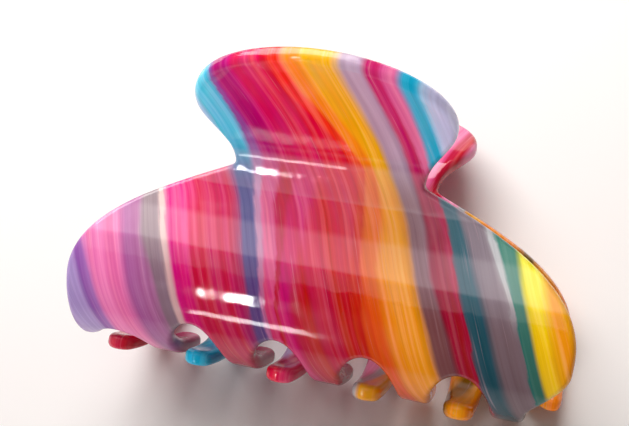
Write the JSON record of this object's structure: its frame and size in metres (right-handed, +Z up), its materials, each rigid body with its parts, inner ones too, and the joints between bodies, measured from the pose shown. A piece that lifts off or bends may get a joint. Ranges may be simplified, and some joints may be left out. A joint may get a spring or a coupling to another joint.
{
  "type": "claw hair clip",
  "caption": "Large claw hair clip: two bent acetate jaws with interleaving curved teeth and splayed thumb handles, on a sprung pin hinge that closes it.",
  "frame": {"origin": "on the surface the clip lies on, under the middle of its bounding box", "axes": "+X along the hinge pin; +Y along the table from the teeth towards the handles; +Z up from the table, towards the front jaw. The clip is closed and lies on its back jaw, on the handle's edge and the outer face of the body."},
  "size_m": [0.101, 0.0734, 0.0651],
  "materials": {
    "acetate": "polished, translucent, with vertical stripes of pink, crimson, orange, yellow, teal, lavender and grey",
    "plate_steel": "stamped, satin",
    "pin_steel": "bright drawn wire with flattened ends",
    "spring_steel": "drawn spring wire"
  },
  "bodies": {
    "back_half": {"back_jaw": "acetate", "back_hinge_plate": "plate_steel", "hinge_pin": "pin_steel", "torsion_spring": "spring_steel"},
    "front_half": {"front_jaw": "acetate", "front_hinge_plate": "plate_steel"}
  },
  "joints": [
    {"name": "jaw_hinge", "type": "hinge", "parent": "back_half", "child": "front_half", "pos_m": [0, 0.00534, 0.02575], "axis": [-1, 0, 0], "range_deg": [0, 100], "stiffness_Nm_per_rad": 0.15, "springref_deg": -30, "deforming": ["torsion_spring"]}
  ]
}
